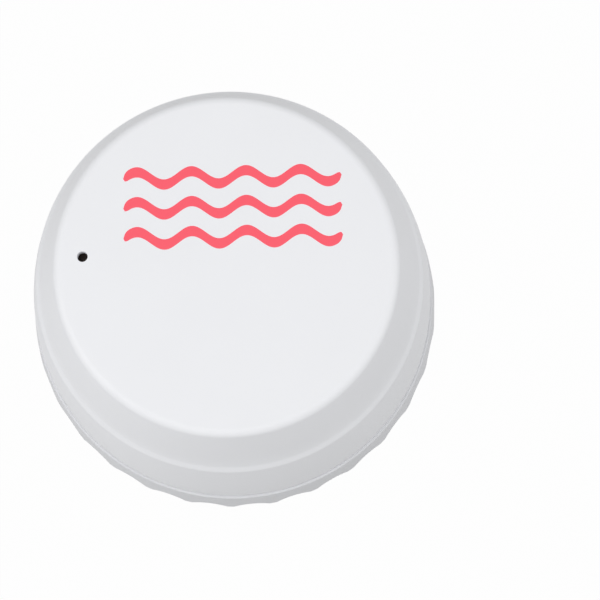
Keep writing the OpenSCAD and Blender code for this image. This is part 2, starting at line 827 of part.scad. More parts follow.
// Drum-shaped coil of the voltage converter in its square ferrite
module power_inductor() {
  coil_w = 5;
  coil_h = 2.4;
  drum_d = 3.8;
  drum_rise = 0.3;
  color("#3B3D40") {
    block_on_board(inductor_at, [coil_w, coil_w, coil_h], board_z);
    translate([inductor_at[0], inductor_at[1], board_z + coil_h - sunk])
      cylinder(d = drum_d, h = drum_rise + sunk);
  }
}

// Upright capacitor: can with a rolled waist on a square foot
module storage_capacitor() {
  can_r = capacitor_d / 2;
  foot_h = 1;
  foot_w = capacitor_d + 0.4;
  waist = 0.35;
  waist_rise = 0.6;
  edge = 0.5;
  waist_z = board_z + foot_h + waist_rise;
  can = concat(
    [[0, board_z + foot_h - sunk], [can_r, board_z + foot_h - sunk], [can_r, waist_z]],
    [[can_r - waist, waist_z + waist], [can_r, waist_z + 2 * waist]],
    arc([can_r - edge, part_top_z - edge], edge, 0, 90, 4),
    [[0, part_top_z]]
  );
  color("#B9BCC0") {
    block_on_board(capacitor_at, [foot_w, foot_w, foot_h], board_z);
    translate([capacitor_at[0], capacitor_at[1], 0]) rotate_extrude() polygon(can);
  }
}

upper_housing();
base_cover();
seal_ring();
probe_screws();
probe_seals();
board_pillars();
board_screws();
circuit_board();
battery_tray();
tray_screws();
front_cell();
rear_cell();
plus_contact();
minus_contact();
bridge_contact();
minus_spring();
bridge_spring();
plus_lead();
minus_lead();
switch_case();
switch_cover();
reset_plunger();
status_led();
buzzer_case();
buzzer_disc();
wireless_module();
module_shield();
controller_chip();
power_inductor();
storage_capacitor();
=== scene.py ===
from math import atan2, cos, hypot, pi, radians, sin, sqrt, tan

import bpy
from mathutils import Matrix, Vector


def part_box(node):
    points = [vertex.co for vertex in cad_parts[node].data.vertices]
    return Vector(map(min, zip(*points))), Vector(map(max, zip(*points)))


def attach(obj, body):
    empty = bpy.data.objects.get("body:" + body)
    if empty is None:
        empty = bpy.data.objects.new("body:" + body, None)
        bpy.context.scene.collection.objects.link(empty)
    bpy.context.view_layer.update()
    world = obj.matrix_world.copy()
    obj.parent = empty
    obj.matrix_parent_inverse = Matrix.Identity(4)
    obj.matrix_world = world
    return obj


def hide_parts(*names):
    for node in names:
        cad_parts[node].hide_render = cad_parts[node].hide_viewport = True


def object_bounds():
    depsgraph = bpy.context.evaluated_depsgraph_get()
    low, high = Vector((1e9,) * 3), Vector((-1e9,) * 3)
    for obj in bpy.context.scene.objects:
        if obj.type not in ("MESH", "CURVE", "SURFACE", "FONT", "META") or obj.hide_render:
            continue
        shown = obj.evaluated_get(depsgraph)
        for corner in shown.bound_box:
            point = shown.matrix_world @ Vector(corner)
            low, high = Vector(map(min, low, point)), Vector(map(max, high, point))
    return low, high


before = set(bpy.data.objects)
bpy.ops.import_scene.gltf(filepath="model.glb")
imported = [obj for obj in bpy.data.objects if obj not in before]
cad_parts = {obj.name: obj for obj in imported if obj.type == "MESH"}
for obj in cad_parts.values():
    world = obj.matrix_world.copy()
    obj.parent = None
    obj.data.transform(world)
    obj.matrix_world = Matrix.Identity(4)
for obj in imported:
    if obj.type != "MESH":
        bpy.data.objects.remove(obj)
cad_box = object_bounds()

# Base cover: the cup at the bottom, with finger flutes round its foot and the spigot and lugs that
# the housing twists on to. Cool white ABS, injection moulded in a spark-eroded mould, which leaves
# a satin skin with a fine even grain.
MM = 0.001
# Drawn greyer than the housing: partly a greyer moulding, partly painted shade for the darker band near the
# floor.
BASE_GREY_AND_SHADE = "#DEDFE2"
ABS_IOR = 1.54


def linear(hex_colour, shade=1.0):
    """An sRGB hex colour as the linear RGBA that a shader takes, darkened by a share."""
    channels = [int(hex_colour[i:i + 2], 16) / 255 for i in (1, 3, 5)]
    flat = [c / 12.92 if c <= 0.04045 else ((c + 0.055) / 1.055) ** 2.4 for c in channels]
    return [shade * c for c in flat] + [1.0]


def add_node(tree, kind, sockets=None, **settings):
    """Adds a node, sets or links its sockets by name or number, and gives its first output."""
    node = tree.nodes.new(kind)
    for name, value in settings.items():
        setattr(node, name, value)
    for key, value in (sockets or {}).items():
        socket = node.inputs[key]
        if isinstance(key, str):
            socket = next(s for s in node.inputs if s.name == key and s.enabled)
        if isinstance(value, bpy.types.NodeSocket):
            tree.links.new(value, socket)
        else:
            socket.default_value = value
    return next((s for s in node.outputs if s.enabled), None)


def new_material(name):
    """An empty material, its node tree, and the piece's own coordinates in metres."""
    material = bpy.data.materials.new(name)
    material.use_nodes = True
    material.node_tree.nodes.clear()
    place = add_node(material.node_tree, "ShaderNodeTexCoord").node.outputs["Object"]
    return material, material.node_tree, place


def end_material(tree, sockets):
    """Ends a material in one Principled shader."""
    shader = add_node(tree, "ShaderNodeBsdfPrincipled", sockets)
    add_node(tree, "ShaderNodeOutputMaterial", {"Surface": shader})


def dress(material, *nodes):
    """Gives CAD nodes their material."""
    for node in nodes:
        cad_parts[node].material_slots[0].material = material


def moulded(name, colour, roughness, grain, ior):
    """Moulded plastic or rubber: an even grained skin, and faint clouds where the melt flowed."""
    cloud_size = 14 * MM
    cloud_shade = 0.97
    grain_depth = 0.02 * MM
    grain_strength = 0.15
    gloss_spread = 0.06
    material, tree, place = new_material(name)
    cloud = add_node(tree, "ShaderNodeTexNoise", {"Vector": place, "Scale": 1 / cloud_size, "Detail": 3.0})
    pits = add_node(tree, "ShaderNodeTexNoise", {"Vector": place, "Scale": 1 / grain, "Detail": 2.0})
    tint = add_node(
        tree, "ShaderNodeMix",
        {"Factor": cloud, "A": linear(colour, cloud_shade), "B": linear(colour)}, data_type="RGBA"
    )
    gloss = add_node(
        tree, "ShaderNodeMapRange",
        {"Value": pits, "To Min": roughness - gloss_spread, "To Max": roughness + gloss_spread}
    )
    skin = add_node(
        tree, "ShaderNodeBump", {"Height": pits, "Strength": grain_strength, "Distance": grain_depth}
    )
    end_material(tree, {"Base Color": tint, "Roughness": gloss, "IOR": ior, "Normal": skin})
    return material


# The real grain is near 0.1 mm; it is drawn at 0.35 mm so that it shows.
ABS_GRAIN = 0.35 * MM
BASE_ABS = moulded("satin_abs_base", BASE_GREY_AND_SHADE, roughness=0.52, grain=ABS_GRAIN, ior=ABS_IOR)
dress(BASE_ABS, "base_cover")

# Rubber washers: one under each probe's head, so that water can't creep up past the thread.
# Black EPDM, compression moulded; dull, with a light bloom that greys it.
RUBBER_GRAIN = 0.25 * MM
RUBBER = moulded("moulded_epdm", "#2A2B2E", roughness=0.72, grain=RUBBER_GRAIN, ior=1.52)
dress(RUBBER, "probe_seals")

# Probes: four stainless screws up through the base. Their flat heads are the feet and the sensing
# contacts, and their threads go up into the pillars. Turned from bar, with a cross recess.
PROBE_HEAD_R = 3.5 * MM
PROBE_HEAD_H = 1.8 * MM
PROBE_EDGE = 0.4 * MM
SHANK_R = 1.45 * MM
THREAD_PITCH = 0.5 * MM
THREAD_L = 6 * MM
probe_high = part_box("probe_screws")[1]
PILLAR_X = probe_high.x - PROBE_HEAD_R
PILLAR_Y = probe_high.y - PROBE_HEAD_R
PILLARS = [(x * PILLAR_X, y * PILLAR_Y) for x in (-1, 1) for y in (-1, 1)]


def pick_faces(piece, wanted):
    """Selects, in edit mode, the faces for which wanted(face) holds."""
    bpy.ops.object.mode_set(mode="EDIT")
    bpy.ops.mesh.select_mode(type="FACE")
    bpy.ops.mesh.select_all(action="DESELECT")
    bpy.ops.object.mode_set(mode="OBJECT")
    for face in piece.data.polygons:
        face.select = wanted(face)
    bpy.ops.object.mode_set(mode="EDIT")


def join_pieces(pieces, name):
    """Joins pieces into one at the origin, with its place in its mesh."""
    bpy.ops.object.select_all(action="DESELECT")
    for piece in pieces:
        piece.select_set(True)
    bpy.context.view_layer.objects.active = pieces[0]
    bpy.ops.object.transform_apply(location=True, rotation=True, scale=True)
    bpy.ops.object.join()
    pieces[0].name = name
    return pieces[0]


def cut_cross(screw, head_r, head_h):
    """Cuts the cross recess into a screw's head with a tapered bar, once each way."""
    arm = 1.1 * head_r
    web = 0.22 * head_r
    depth = 0.62 * head_h
    over = 0.2 * MM
    bpy.ops.object.select_all(action="DESELECT")
    bpy.ops.mesh.primitive_cube_add(size=1, location=(0, 0, head_h + over - (depth + over) / 2))
    punch = bpy.context.object
    punch.scale = (arm, web, depth + over)
    bpy.ops.object.transform_apply(location=True, rotation=True, scale=True)
    pick_faces(punch, lambda face: face.normal.z < -0.9)
    bpy.ops.transform.resize(value=(0.5, 0.7, 1), center_override=(0, 0, head_h - depth))
    bpy.ops.object.mode_set(mode="OBJECT")
    for turn in (0, pi / 2):
        punch.rotation_euler.z = turn
        bpy.ops.object.select_all(action="DESELECT")
        bpy.context.view_layer.objects.active = screw
        recess = screw.modifiers.new("recess", "BOOLEAN")
        recess.object = punch
        recess.operation = "DIFFERENCE"
        bpy.ops.object.modifier_apply(modifier="recess")
    bpy.data.objects.remove(punch, do_unlink=True)


def wind_thread(core_r, crest_r, pitch, turns, low_z):
    """A screw's thread: a three-sided rib wound round Z, closed at both ends."""
    root_r = core_r - 0.1 * (crest_r - core_r)
    bpy.ops.object.select_all(action="DESELECT")
    bpy.ops.mesh.primitive_circle_add(vertices=3, radius=pitch)
    rib = bpy.context.object
    corners = ((root_r, 0, low_z), (crest_r, 0, low_z + 0.45 * pitch), (root_r, 0, low_z + 0.9 * pitch))
    for vertex, corner in zip(rib.data.vertices, corners):
        vertex.co = corner
    winding = rib.modifiers.new("winding", "SCREW")
    winding.screw_offset = pitch
    winding.iterations = turns
    winding.steps = 20
    winding.render_steps = 20
    bpy.ops.object.modifier_apply(modifier="winding")
    bpy.ops.object.mode_set(mode="EDIT")
    bpy.ops.mesh.select_all(action="SELECT")
    bpy.ops.mesh.fill_holes(sides=3)
    bpy.ops.mesh.select_all(action="SELECT")
    bpy.ops.mesh.normals_make_consistent(inside=False)
    bpy.ops.object.mode_set(mode="OBJECT")
    return rib


def cross_screw(head_r, head_h, edge, shank_r, length, pitch, thread_l):
    """A screw that sits at height 0, head up: soft-edged head, cross recess, shank, thread, point."""
    thread_depth = 0.6 * pitch
    core_r = shank_r - thread_depth
    point = thread_depth
    bpy.ops.object.select_all(action="DESELECT")
    bpy.ops.mesh.primitive_cylinder_add(
        vertices=48, radius=head_r, depth=head_h, location=(0, 0, head_h / 2)
    )
    screw = bpy.context.object
    bpy.ops.object.transform_apply(location=True, rotation=True, scale=True)
    pick_faces(screw, lambda face: face.normal.z > 0.9)
    bpy.ops.mesh.bevel(offset=edge, segments=5, affect="EDGES")
    pick_faces(screw, lambda face: face.normal.z < -0.9)
    bpy.ops.mesh.inset(thickness=head_r - core_r)
    bpy.ops.mesh.extrude_region_move(TRANSFORM_OT_translate={"value": (0, 0, point - length)})
    bpy.ops.mesh.extrude_region_move(TRANSFORM_OT_translate={"value": (0, 0, -point)})
    bpy.ops.transform.resize(value=(0.7, 0.7, 1), center_override=(0, 0, -length))
    bpy.ops.object.mode_set(mode="OBJECT")
    cut_cross(screw, head_r, head_h)
    turns = int(thread_l / pitch) - 1
    rib = wind_thread(core_r, shank_r, pitch, turns, point - length)
    return join_pieces([screw, rib], "screw")


def set_out(screw, places, name):
    """Copies a screw to its places, each copy with its own mesh, and joins them into one piece."""
    copies = []
    for place in places:
        copy = screw.copy()
        copy.data = screw.data.copy()
        copy.location = place
        bpy.context.collection.objects.link(copy)
        copies.append(copy)
    bpy.data.objects.remove(screw, do_unlink=True)
    piece = join_pieces(copies, name)
    bpy.ops.object.shade_smooth_by_angle(angle=radians(35))
    return piece


def turned_stainless():
    """Turned steel: fine rings round each probe's own middle, which spread the shine into a cross."""
    ring_size = 0.12 * MM
    ring_depth = 0.01 * MM
    material, tree, place = new_material("turned_stainless")
    folded = add_node(tree, "ShaderNodeVectorMath", {0: place}, operation="ABSOLUTE")
    own = add_node(
        tree, "ShaderNodeVectorMath", {0: folded, 1: (PILLAR_X, PILLAR_Y, 0)}, operation="SUBTRACT"
    )
    flat = add_node(tree, "ShaderNodeVectorMath", {0: own, 1: (1, 1, 0)}, operation="MULTIPLY")
    radius = add_node(tree, "ShaderNodeVectorMath", {0: flat}, operation="LENGTH").node.outputs["Value"]
    rings = add_node(
        tree, "ShaderNodeTexNoise",
        {"W": radius, "Scale": 1 / ring_size, "Detail": 1.0}, noise_dimensions="1D"
    )
    tint = add_node(
        tree, "ShaderNodeMix",
        {"Factor": rings, "A": linear("#B4B6B8"), "B": linear("#D2D4D6")}, data_type="RGBA"
    )
    gloss = add_node(tree, "ShaderNodeMapRange", {"Value": rings, "To Min": 0.2, "To Max": 0.4})
    skin = add_node(tree, "ShaderNodeBump", {"Height": rings, "Strength": 0.3, "Distance": ring_depth})
    end_material(tree, {"Base Color": tint, "Metallic": 1.0, "Roughness": gloss, "Normal": skin})
    return material


probe = cross_screw(
    PROBE_HEAD_R, PROBE_HEAD_H, PROBE_EDGE, SHANK_R, probe_high.z - PROBE_HEAD_H, THREAD_PITCH, THREAD_L
)
probe.rotation_euler.x = pi
probes = set_out(probe, [(x, y, PROBE_HEAD_H) for x, y in PILLARS], "probes")
probes.data.materials.append(turned_stainless())
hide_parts("probe_screws")
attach(probes, "base")

# Board pillars: hexagon brass pillars that stand on the probes' bosses and carry the board.
# Cut from drawn bar, so that fine lines run up the flats.
BRASS_COLOUR = "#D2B26A"
DRAWN_LINES = [0.15 * MM, 0.15 * MM, 8 * MM]
DRAWN_DEPTH = 0.01 * MM


def metal(name, colour, roughness, streak, depth=0.0):
    """Bare or plated metal with fine streaks; streak is their size along each axis."""
    streak_shade = 0.88
    gloss_spread = 0.08
    material, tree, place = new_material(name)
    stretched = add_node(
        tree, "ShaderNodeMapping", {"Vector": place, "Scale": [1 / length for length in streak]}
    )
    streaks = add_node(tree, "ShaderNodeTexNoise", {"Vector": stretched, "Scale": 1.0, "Detail": 2.0})
    tint = add_node(
        tree, "ShaderNodeMix",
        {"Factor": streaks, "A": linear(colour, streak_shade), "B": linear(colour)}, data_type="RGBA"
    )
    gloss = add_node(
        tree, "ShaderNodeMapRange",
        {"Value": streaks, "To Min": roughness - gloss_spread, "To Max": roughness + gloss_spread}
    )
    skin = add_node(tree, "ShaderNodeBump", {"Height": streaks, "Strength": 0.2, "Distance": depth})
    end_material(tree, {"Base Color": tint, "Metallic": 1.0, "Roughness": gloss, "Normal": skin})
    return material


dress(metal("drawn_brass", BRASS_COLOUR, 0.32, DRAWN_LINES, DRAWN_DEPTH), "board_pillars")

# Battery tray: the open cradle for the two cells, with finger gaps and two screw ears.
# Black polypropylene, injection moulded; a little waxy.
TRAY_GRAIN = 0.4 * MM
TRAY_PLASTIC = moulded("moulded_polypropylene", "#2C2D30", roughness=0.5, grain=TRAY_GRAIN, ior=1.49)
dress(TRAY_PLASTIC, "battery_tray")

# Tray screws: two small cross-head screws through the tray's ears into the base's bosses.
# Cold-headed steel with bright zinc plate, which has a fine cloudy grain.
ZINC = metal("zinc_plated_steel", "#C3C7CC", 0.34, [0.6 * MM] * 3)
EAR_SCREW_HEAD_R = 2.0 * MM
EAR_SCREW_HEAD_H = 1.4 * MM
EAR_SCREW_EDGE = 0.35 * MM
EAR_SCREW_SHANK_R = 0.95 * MM
EAR_SCREW_PITCH = 0.4 * MM
EAR_SCREW_THREAD_L = 1.8 * MM
ear_low, ear_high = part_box("tray_screws")
ear_seat_z = ear_high.z - EAR_SCREW_HEAD_H
ear_y = ear_high.y - EAR_SCREW_HEAD_R
ear_screw = cross_screw(
    EAR_SCREW_HEAD_R, EAR_SCREW_HEAD_H, EAR_SCREW_EDGE, EAR_SCREW_SHANK_R,
    ear_seat_z - ear_low.z, EAR_SCREW_PITCH, EAR_SCREW_THREAD_L
)
ear_screws = set_out(ear_screw, [(0, y, ear_seat_z) for y in (-ear_y, ear_y)], "ear_screws")
ear_screws.data.materials.append(ZINC)
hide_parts("tray_screws")
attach(ear_screws, "base")

# Cell contacts: stamped plates that slide into the tray's ends, one of them across both cells.
# Spring steel with bright nickel plate; faint rolling lines run up the sheet.
NICKEL = metal("nickel_plate", "#CFCDC6", 0.24, [0.5 * MM, 0.5 * MM, 3 * MM])
dress(NICKEL, "plus_contact", "minus_contact", "bridge_contact")

# Cell springs: cone springs that press on the cells' flat ends, wound from one wire each.
# Spring steel, nickel plated like the plates that they are riveted to; both end turns lie flat.
SPRING_WIRE = 0.5 * MM
SPRING_TURNS = 3.5
SPRING_WIDE = 7.2 * MM
SPRING_NARROW = 4.4 * MM


def bent_wire(path, wire, name):
    """A round wire along a path, closed at both ends, as a mesh."""
    bpy.ops.object.select_all(action="DESELECT")
    bpy.ops.curve.primitive_nurbs_path_add()
    bent = bpy.context.object
    spline = bent.data.splines[0]
    spline.type = "POLY"
    spline.points.add(len(path) - len(spline.points))
    for point, place in zip(spline.points, path):
        point.co = (*place, 1)
    bent.data.dimensions = "3D"
    bent.data.twist_mode = "MINIMUM"
    bent.data.bevel_depth = wire / 2
    bent.data.bevel_resolution = 3
    bent.data.use_fill_caps = True
    bpy.ops.object.convert(target="MESH")
    bent = bpy.context.object
    bpy.ops.object.mode_set(mode="EDIT")
    bpy.ops.mesh.select_all(action="SELECT")
    bpy.ops.mesh.remove_doubles(threshold=0.001 * wire)
    bpy.ops.mesh.normals_make_consistent(inside=False)
    bpy.ops.object.mode_set(mode="OBJECT")
    bpy.ops.object.shade_smooth_by_angle(angle=radians(50))
    bent.name = name
    return bent


def wind_spring(node, cell, facing, name):
    """A cone spring from its plate to a cell's flat end; facing is the way to the cell along X."""
    steps = 126
    flat_turns = 0.7
    low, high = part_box(node)
    cell_low, cell_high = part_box(cell)
    start_x = (low.x if facing > 0 else high.x) + facing * SPRING_WIRE / 2
    reach = high.x - low.x - SPRING_WIRE
    path = []
    for i in range(steps + 1):
        turn = SPRING_TURNS * i / steps
        climb = min(max((turn - flat_turns) / (SPRING_TURNS - 2 * flat_turns), 0), 1)
        wide = SPRING_WIDE + (SPRING_NARROW - SPRING_WIDE) * turn / SPRING_TURNS
        arm = (wide - SPRING_WIRE) / 2
        path.append((
            start_x + facing * reach * climb,
            (cell_low.y + cell_high.y) / 2 + facing * arm * cos(2 * pi * turn),
            (cell_low.z + cell_high.z) / 2 + arm * sin(2 * pi * turn),
        ))
    spring = bent_wire(path, SPRING_WIRE, name)
    spring.data.materials.append(NICKEL)
    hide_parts(node)
    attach(spring, "base")


wind_spring("minus_spring", "rear_cell", 1, "rear_cell_spring")
wind_spring("bridge_spring", "front_cell", -1, "front_cell_spring")

# Cells: two AAA cells side by side, turned opposite ways. Drawn steel cans with nickel on their bare
# ends, in a sleeve of shrunk PVC film: plain blue, with a pale band near the positive end.
CELL_SLEEVE = "#2F5F92"
CELL_BAND = "#C9CED4"
CELL_STEEL = "#C6C5C0"
SLEEVE_FROM, SLEEVE_TO = 0.014, 0.962
BAND_FROM, BAND_TO = 0.8, 0.845


def shrunk_sleeve(name, node, plus_side):
    """Glossy printed film over a can, by the share of the cell's length from its flat end."""
    ripple_size = 3 * MM
    ripple_depth = 0.02 * MM
    low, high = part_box(node)
    material, tree, place = new_material(name)
    along = add_node(tree, "ShaderNodeSeparateXYZ", {0: place}).node.outputs["X"]
    flat_x, nub_x = (low.x, high.x) if plus_side > 0 else (high.x, low.x)
    share = add_node(tree, "ShaderNodeMapRange", {"Value": along, "From Min": flat_x, "From Max": nub_x})
    bands = add_node(tree, "ShaderNodeValToRGB", {0: share}).node
    bands.color_ramp.interpolation = "CONSTANT"
    stops = (
        (0.0, CELL_STEEL), (SLEEVE_FROM, CELL_SLEEVE), (BAND_FROM, CELL_BAND),
        (BAND_TO, CELL_SLEEVE), (SLEEVE_TO, CELL_STEEL)
    )
    for at, colour in stops[1:]:
        bands.color_ramp.elements.new(at)
    bands.color_ramp.elements.remove(bands.color_ramp.elements[-1])
    for element, (at, colour) in zip(bands.color_ramp.elements, stops):
        element.color = linear(colour)
    middle = (SLEEVE_FROM + SLEEVE_TO) / 2
    half = (SLEEVE_TO - SLEEVE_FROM) / 2
    covered = add_node(tree, "ShaderNodeMath", {0: share, 1: middle, 2: half}, operation="COMPARE")
    metallic = add_node(tree, "ShaderNodeMapRange", {"Value": covered, "To Min": 1.0, "To Max": 0.0})
    ripple = add_node(
        tree, "ShaderNodeTexNoise", {"Vector": place, "Scale": 1 / ripple_size, "Detail": 1.0}
    )
    skin = add_node(tree, "ShaderNodeBump", {"Height": ripple, "Strength": 0.1, "Distance": ripple_depth})
    end_material(tree, {
        "Base Color": bands.outputs["Color"], "Metallic": metallic, "Roughness": 0.27, "Normal": skin
    })
    return material


dress(shrunk_sleeve("shrunk_pvc_front", "front_cell", -1), "front_cell")
dress(shrunk_sleeve("shrunk_pvc_rear", "rear_cell", 1), "rear_cell")

# Battery leads: two stranded wires from the contacts' tabs up to the board, soldered at both ends.
# Soft PVC insulation, red and black, stripped for the last millimetre to the tinned strands.
LEAD_D = 1.2 * MM
LEAD_STRIP = 1.0 * MM
STRANDS_D = 0.55 * LEAD_D
STRAND_LINES = [0.2 * MM, 0.2 * MM, 1.5 * MM]
PVC_GRAIN = 0.4 * MM
PVC_IOR = 1.53
TINNED_COLOUR = "#C4C6C8"
SOLDER = metal("tinned_copper", TINNED_COLOUR, 0.3, STRAND_LINES, DRAWN_DEPTH)


def battery_lead(node, insulation, name):
    """A lead along its CAD route: upright at both ends, swept aside in between."""
    steps = 32
    low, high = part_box(node)
    start_x = low.x + LEAD_D / 2
    sweep = high.x - low.x - LEAD_D
    y = (low.y + high.y) / 2
    straight = LEAD_D
    rise = high.z - low.z - 2 * straight
    path = [(start_x, y, low.z)]
    for i in range(steps + 1):
        share = i / steps
        path.append((start_x + sweep * (1 - cos(pi * share)) / 2, y, low.z + straight + rise * share))
    path.append((start_x + sweep, y, high.z))
    strands = bent_wire(path, STRANDS_D, "strands")
    strands.data.materials.append(SOLDER)
    path[0] = (start_x, y, low.z + LEAD_STRIP)
    path[-1] = (start_x + sweep, y, high.z - LEAD_STRIP)
    sleeve = bent_wire(path, LEAD_D, "sleeve")
    sleeve.data.materials.append(insulation)
    lead = join_pieces([sleeve, strands], name)
    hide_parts(node)
    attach(lead, "base")


RED_PVC = moulded("red_pvc", "#B02A2E", roughness=0.4, grain=PVC_GRAIN, ior=PVC_IOR)
battery_lead("plus_lead", RED_PVC, "red_lead")
BLACK_PVC = moulded("black_pvc", "#1D1E20", roughness=0.4, grain=PVC_GRAIN, ior=PVC_IOR)
battery_lead("minus_lead", BLACK_PVC, "black_lead")

# Circuit board: a round board on the pillars, with a notch at the front and the back.
# Glass epoxy under green solder mask; copper tracks show through the mask as paler lines, and
# the routed edge is bare yellowish laminate.
TRACK_PITCH = 1.27 * MM
TRACK_W = 0.3 * MM
MASK_GREEN, MASK_GREEN_2, TRACK_GREEN = "#1F5A3A", "#22603E", "#3B8158"
LAMINATE = "#B9B183"


def two_finishes(tree, mask, ground, mark, ior=1.5):
    """Ends a material that has two finishes side by side; each is a colour, metallic and roughness."""
    tint = add_node(
        tree, "ShaderNodeMix",
        {"Factor": mask, "A": linear(ground[0]), "B": linear(mark[0])}, data_type="RGBA"
    )
    metallic = add_node(tree, "ShaderNodeMapRange", {"Value": mask, "To Min": ground[1], "To Max": mark[1]})
    gloss = add_node(tree, "ShaderNodeMapRange", {"Value": mask, "To Min": ground[2], "To Max": mark[2]})
    end_material(tree, {"Base Color": tint, "Metallic": metallic, "Roughness": gloss, "IOR": ior})


def masked_laminate():
    """Solder mask over tracks on both faces, and the sawn laminate at the edge."""
    material, tree, place = new_material("green_solder_mask")
    facing = add_node(tree, "ShaderNodeTexCoord").node.outputs["Normal"]
    upright = add_node(tree, "ShaderNodeSeparateXYZ", {0: facing}).node.outputs["Z"]
    flat = add_node(tree, "ShaderNodeMath", {0: upright}, operation="ABSOLUTE")
    face = add_node(tree, "ShaderNodeMath", {0: flat, 1: 0.5}, operation="GREATER_THAN")
    tracks = add_node(tree, "ShaderNodeTexBrick", {
        "Vector": place, "Scale": 1.0, "Mortar Size": TRACK_W / 2, "Mortar Smooth": 0.1,
        "Brick Width": 5 * TRACK_PITCH, "Row Height": TRACK_PITCH,
        "Color1": linear(MASK_GREEN), "Color2": linear(MASK_GREEN_2), "Mortar": linear(TRACK_GREEN)
    }, offset=0.37)
    tint = add_node(
        tree, "ShaderNodeMix", {"Factor": face, "A": linear(LAMINATE), "B": tracks}, data_type="RGBA"
    )
    gloss = add_node(tree, "ShaderNodeMapRange", {"Value": face, "To Min": 0.75, "To Max": 0.32})
    end_material(tree, {"Base Color": tint, "Roughness": gloss})
    return material


dress(masked_laminate(), "circuit_board")

# Board screws: four pan-head screws that hold the board down on the pillars.
# Zinc-plated steel with a cross recess, as the tray's screws.
BOARD_SCREW_HEAD_R = 2.75 * MM
BOARD_SCREW_HEAD_H = 2.0 * MM
BOARD_SCREW_CROWN = 0.6 * MM
board_screw_low, board_screw_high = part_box("board_screws")
board_seat_z = board_screw_high.z - BOARD_SCREW_HEAD_H
board_screw = cross_screw(
    BOARD_SCREW_HEAD_R, BOARD_SCREW_HEAD_H, BOARD_SCREW_CROWN, SHANK_R,
    board_seat_z - board_screw_low.z, THREAD_PITCH, THREAD_L
)
pan_screws = set_out(board_screw, [(x, y, board_seat_z) for x, y in PILLARS], "pan_screws")
pan_screws.data.materials.append(ZINC)
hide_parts("board_screws")
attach(pan_screws, "base")

# Reset switch: a square push switch under the reset hole, closed by a steel plate that guides its
# plunger. Black glass-filled nylon with a dull skin; the plate is zinc plated and the plunger brown acetal.
NYLON_GRAIN = 0.3 * MM
NYLON_IOR = 1.53
CASE_NYLON = moulded("glass_filled_nylon", "#1E1F21", roughness=0.5, grain=NYLON_GRAIN, ior=NYLON_IOR)
dress(CASE_NYLON, "switch_case")
dress(ZINC, "switch_cover")
ACETAL = moulded("acetal_plunger", "#6A5A50", roughness=0.42, grain=NYLON_GRAIN, ior=1.48)
dress(ACETAL, "reset_plunger")

# Status light: a small surface-mount lamp with a domed lens beside the switch.
# White moulded body under clear cast resin, so that it looks milky below and glassy on top.
LED_BODY_H = 0.65 * MM
material, tree, place = new_material("cast_resin")
led_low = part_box("status_led")[0]
height = add_node(tree, "ShaderNodeSeparateXYZ", {0: place}).node.outputs["Z"]
lens = add_node(tree, "ShaderNodeMath", {0: height, 1: led_low.z + LED_BODY_H}, operation="GREATER_THAN")
two_finishes(tree, lens, ("#E9EAE6", 0.0, 0.45), ("#D3E6C8", 0.0, 0.08))
dress(material, "status_led")

# Sounder: a round case with a sound hole over a thin brass disc that rings it.
# The case is black moulded nylon; the disc is rolled brass with fine lines along the strip.
SOUNDER_NYLON = moulded("moulded_nylon", "#202123", roughness=0.55, grain=NYLON_GRAIN, ior=NYLON_IOR)
dress(SOUNDER_NYLON, "buzzer_case")
dress(metal("rolled_brass", BRASS_COLOUR, 0.3, [4 * MM, 0.3 * MM, 0.3 * MM]), "buzzer_disc")

# Wireless module: a small daughter board soldered on the main one, with a printed aerial at its
# outer end. Dark blue solder mask; the aerial is gold-flashed copper in a tight zigzag.
AERIAL_PITCH = 1.6 * MM
AERIAL_GAP = 1.0 * MM
AERIAL_CUT = 0.2
material, tree, place = new_material("blue_solder_mask")
shield_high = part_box("module_shield")[1]
split = add_node(tree, "ShaderNodeSeparateXYZ", {0: place}).node
outer = add_node(
    tree, "ShaderNodeMath", {0: split.outputs["X"], 1: shield_high.x + AERIAL_GAP}, operation="GREATER_THAN"
)
turns = add_node(
    tree, "ShaderNodeMath", {0: split.outputs["Y"], 1: 2 * pi / AERIAL_PITCH}, operation="MULTIPLY"
)
wave = add_node(tree, "ShaderNodeMath", {0: turns}, operation="SINE")
strip = add_node(tree, "ShaderNodeMath", {0: wave, 1: AERIAL_CUT}, operation="GREATER_THAN")
aerial = add_node(tree, "ShaderNodeMath", {0: outer, 1: strip}, operation="MULTIPLY")
two_finishes(tree, aerial, ("#1F3550", 0.0, 0.34), ("#CDB06C", 1.0, 0.3))
dress(material, "wireless_module")

# Shield: the folded can over the module's radio.
# Tinned steel sheet, softly bright, with rolling lines along it.
dress(metal("tinned_steel", "#C2C5C8", 0.36, [2 * MM, 0.4 * MM, 0.4 * MM]), "module_shield")

# Controller: a flat chip with eight legs along each side, soldered to the board.
# Black moulded epoxy with a fine sandy skin; the legs are tinned copper.
CHIP_HALF_W = 2.0 * MM
material, tree, place = new_material("chip_epoxy")
chip_low, chip_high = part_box("controller_chip")
chip_y = (chip_low.y + chip_high.y) / 2
across = add_node(tree, "ShaderNodeSeparateXYZ", {0: place}).node.outputs["Y"]
legs = add_node(tree, "ShaderNodeMath", {0: across, 1: chip_y, 2: CHIP_HALF_W}, operation="COMPARE")
two_finishes(tree, legs, (TINNED_COLOUR, 1.0, 0.3), ("#232427", 0.0, 0.62), 1.55)
dress(material, "controller_chip")

# Converter coil: a drum of wire potted in a square of pressed ferrite.
# Dark grey, dull and a little gritty.
FERRITE_GRAIN = 0.2 * MM
FERRITE = moulded("pressed_ferrite", "#3B3D40", roughness=0.7, grain=FERRITE_GRAIN, ior=1.6)
dress(FERRITE, "power_inductor")

